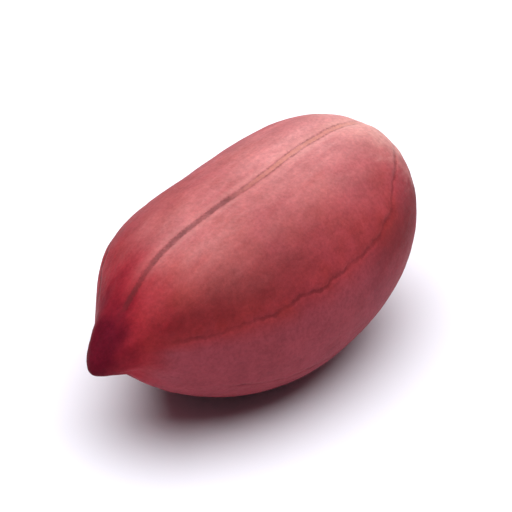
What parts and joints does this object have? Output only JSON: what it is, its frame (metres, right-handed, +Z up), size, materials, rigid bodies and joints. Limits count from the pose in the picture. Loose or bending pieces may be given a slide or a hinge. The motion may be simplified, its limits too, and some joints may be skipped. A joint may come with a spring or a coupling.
{
  "type": "peanut kernel",
  "caption": "Shelled peanut kernel in its red papery skin: a long egg shape with a small bent beak at one end, veins along it, and a small flat spot to rest on.",
  "frame": {"origin": "on the supporting surface, under the middle of the kernel's bounding box", "axes": "+X along the kernel from the beak to the round end, +Z up from the surface through the main vein, +Y to the left of +X"},
  "size_m": [0.0194, 0.0104, 0.009],
  "materials": {
    "skin": "thin papery seed skin, dusty red-pink with darker lengthwise veins, maroon at the beak, satin to matt with a soft waxy sheen"
  },
  "bodies": {
    "root": {"peanut_kernel": "skin"}
  },
  "joints": []
}
